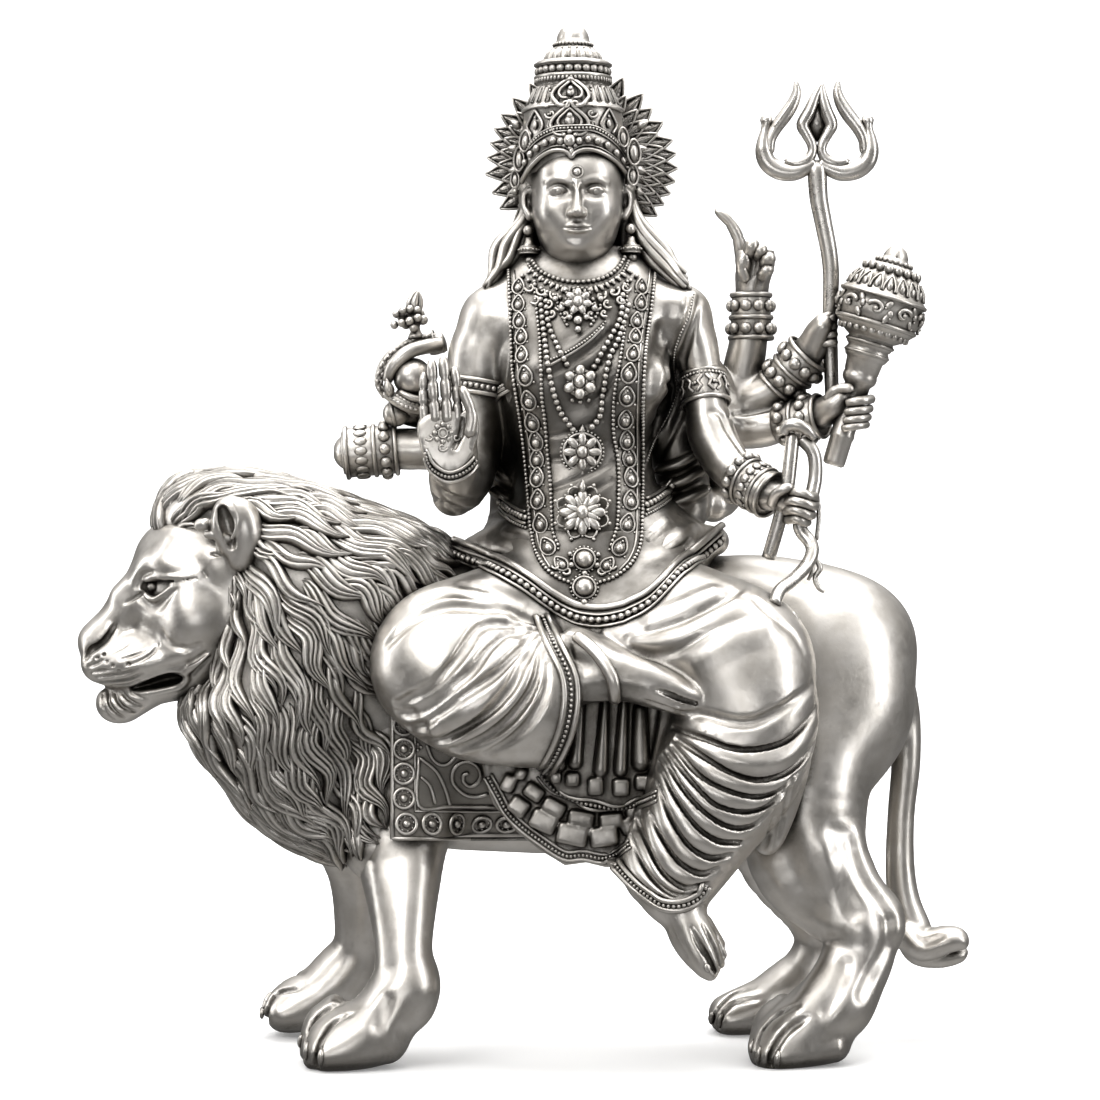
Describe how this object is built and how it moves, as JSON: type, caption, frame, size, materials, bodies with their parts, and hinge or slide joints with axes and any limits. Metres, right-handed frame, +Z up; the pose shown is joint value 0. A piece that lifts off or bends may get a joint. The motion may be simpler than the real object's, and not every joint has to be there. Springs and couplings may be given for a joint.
{
  "type": "durga on lion statue",
  "caption": "Cast metal shrine statue of a many-armed goddess seated side-saddle on a standing lion, holding a trident, mace and bow, standing on the lion's four paws.",
  "frame": {"origin": "middle of the outline's footprint, on the plane that the four paws stand on", "axes": "+Z up; the goddess faces -Y and the lion faces -X, its nose turned slightly towards -Y"},
  "size_m": [0.2568, 0.115, 0.2959],
  "materials": {
    "antique_silver": "cast, polished silver finish with near-black oxide left in the recesses",
    "worn_silver": "cast, brighter silver finish worn by handling, dark only at the joints"
  },
  "bodies": {
    "root": {"goddess_on_lion": "antique_silver", "trident": "worn_silver", "bow": "worn_silver"}
  },
  "joints": []
}
